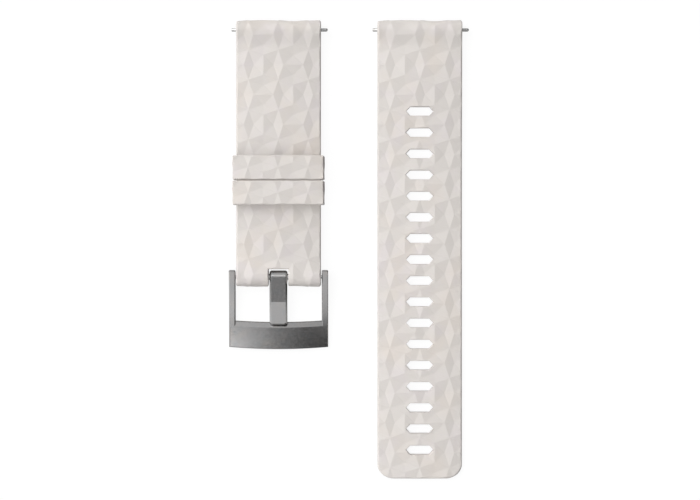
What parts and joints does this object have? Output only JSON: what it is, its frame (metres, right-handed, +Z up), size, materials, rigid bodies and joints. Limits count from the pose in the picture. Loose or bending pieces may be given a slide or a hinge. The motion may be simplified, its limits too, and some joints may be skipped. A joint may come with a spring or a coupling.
{
  "type": "watch strap",
  "caption": "Silicone watch strap in two separate halves with a pin buckle, sliding keeper loops, a slotted tail and quick-release spring bars at the lugs.",
  "frame": {"origin": "middle of the footprint of both halves as they lie side by side, on the surface they lie on", "axes": "+Y along the straps towards the lug ends, +X across from the buckle half to the slotted half, +Z up out of the patterned side"},
  "size_m": [0.068, 0.13, 0.0079],
  "materials": {
    "silicone": "matt moulded silicone, warm light grey, low facets",
    "buckle_steel": "satin bead-blasted grey steel",
    "bar_steel": "turned stainless steel",
    "spring_steel": "drawn spring wire"
  },
  "bodies": {
    "buckle_half": {"strap_buckle_half": "silicone", "buckle_bar_tube": "bar_steel", "buckle_bar_spring": "spring_steel", "buckle_lug_tube": "bar_steel", "buckle_lug_fixed_tip": "bar_steel", "buckle_lug_spring": "spring_steel"},
    "frame": {"buckle_frame": "buckle_steel"},
    "tongue": {"buckle_tongue": "buckle_steel"},
    "upper_keeper_loop": {"upper_keeper": "silicone"},
    "lower_keeper_loop": {"lower_keeper": "silicone"},
    "buckle_bar_left": {"buckle_bar_left_tip": "bar_steel"},
    "buckle_bar_right": {"buckle_bar_right_tip": "bar_steel"},
    "buckle_lug_release": {"buckle_lug_plunger": "bar_steel", "buckle_lug_lever": "bar_steel"},
    "tail_half": {"strap_tail_half": "silicone", "tail_lug_tube": "bar_steel", "tail_lug_fixed_tip": "bar_steel", "tail_lug_spring": "spring_steel"},
    "tail_lug_release": {"tail_lug_plunger": "bar_steel", "tail_lug_lever": "bar_steel"}
  },
  "joints": [
    {"name": "frame_hinge", "type": "hinge", "parent": "buckle_half", "child": "frame", "pos_m": [-0.01993, -0.0078, 0.0024], "axis": [-1, 0, 0], "range_deg": [-75, 15]},
    {"name": "tongue_hinge", "type": "hinge", "parent": "frame", "child": "tongue", "pos_m": [-0.01993, -0.0078, 0.0024], "axis": [-1, 0, 0], "range_deg": [0, 85]},
    {"name": "upper_keeper_slide", "type": "slide", "parent": "buckle_half", "child": "upper_keeper_loop", "axis": [0, 1, 0], "range_m": [0, 0.03]},
    {"name": "lower_keeper_slide", "type": "slide", "parent": "buckle_half", "child": "lower_keeper_loop", "axis": [0, -1, 0], "range_m": [0, 0.015]},
    {"name": "buckle_lug_plunger_slide", "type": "slide", "parent": "buckle_half", "child": "buckle_lug_release", "axis": [-1, 0, 0], "range_m": [0, 0.0019], "stiffness_N_per_m": 600, "springref_m": -0.001, "deforming": ["buckle_lug_spring"]},
    {"name": "tail_lug_plunger_slide", "type": "slide", "parent": "tail_half", "child": "tail_lug_release", "axis": [-1, 0, 0], "range_m": [0, 0.0019], "stiffness_N_per_m": 600, "springref_m": -0.001, "deforming": ["tail_lug_spring"]},
    {"name": "buckle_bar_left_slide", "type": "slide", "parent": "buckle_half", "child": "buckle_bar_left", "axis": [1, 0, 0], "range_m": [0, 0.001], "stiffness_N_per_m": 800, "springref_m": -0.001, "deforming": ["buckle_bar_spring"]},
    {"name": "buckle_bar_right_slide", "type": "slide", "parent": "buckle_half", "child": "buckle_bar_right", "axis": [-1, 0, 0], "range_m": [0, 0.001], "stiffness_N_per_m": 800, "springref_m": -0.001, "deforming": ["buckle_bar_spring"]},
    {"name": "tail_half_lift", "type": "slide", "parent": "buckle_half", "child": "tail_half", "axis": [0, 0, 1], "range_m": [0, 0.05]}
  ]
}
